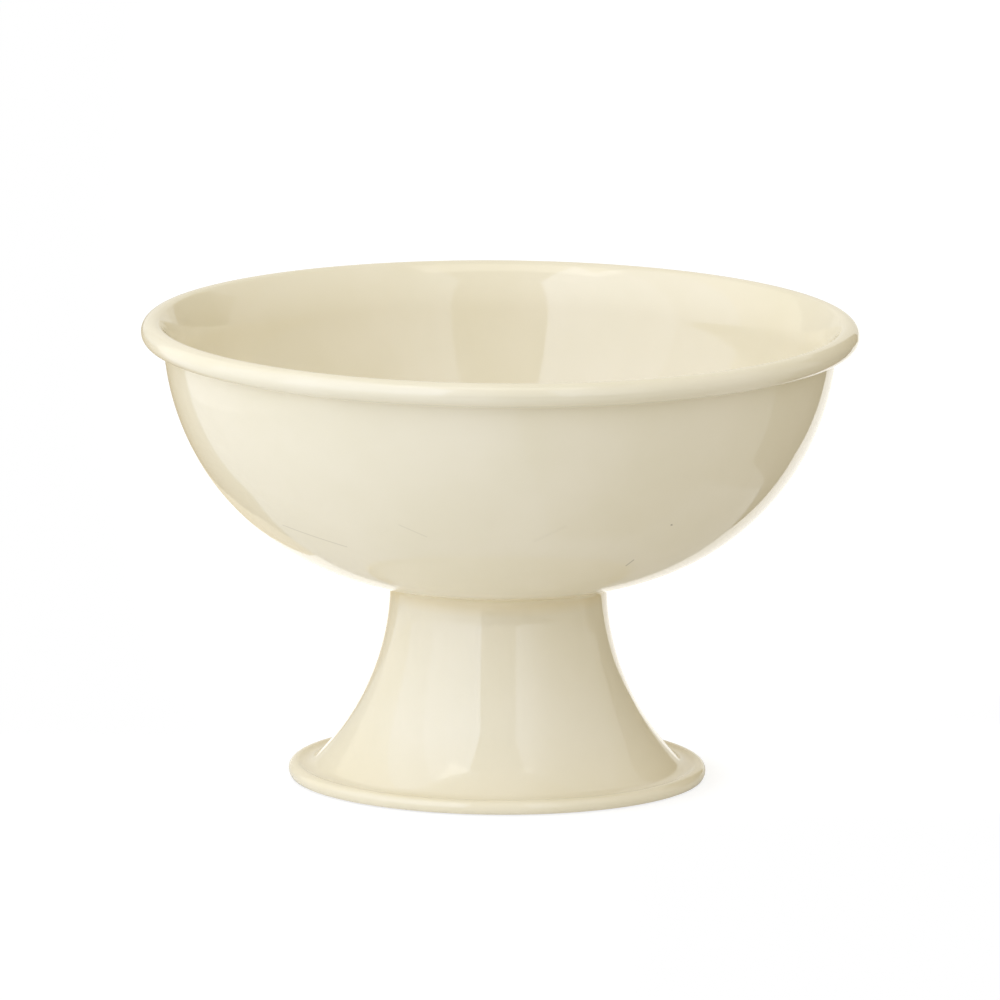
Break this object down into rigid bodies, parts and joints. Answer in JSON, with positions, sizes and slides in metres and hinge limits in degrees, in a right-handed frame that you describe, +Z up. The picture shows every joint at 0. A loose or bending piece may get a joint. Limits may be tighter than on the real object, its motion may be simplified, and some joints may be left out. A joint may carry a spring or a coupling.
{
  "type": "ice cream cup",
  "caption": "Footed ice cream cup of cream-glazed stoneware: a round bowl with a rolled rim joined to a hollow flared pedestal.",
  "frame": {"origin": "centre of the foot ring, on the surface that the cup stands on", "axes": "+Z up along the cup's turning axis; X and Y are free, because the cup is round"},
  "size_m": [0.125, 0.125, 0.0805],
  "materials": {
    "clay": "bare fired stoneware, matt and fine-grained",
    "slip": "fired slip, matt",
    "glaze": "glossy cream glaze"
  },
  "bodies": {
    "root": {"bowl": "clay", "pedestal": "clay", "slip_ring": "slip", "liner_glaze": "glaze", "outer_glaze": "glaze", "underside_glaze": "glaze"}
  },
  "joints": []
}
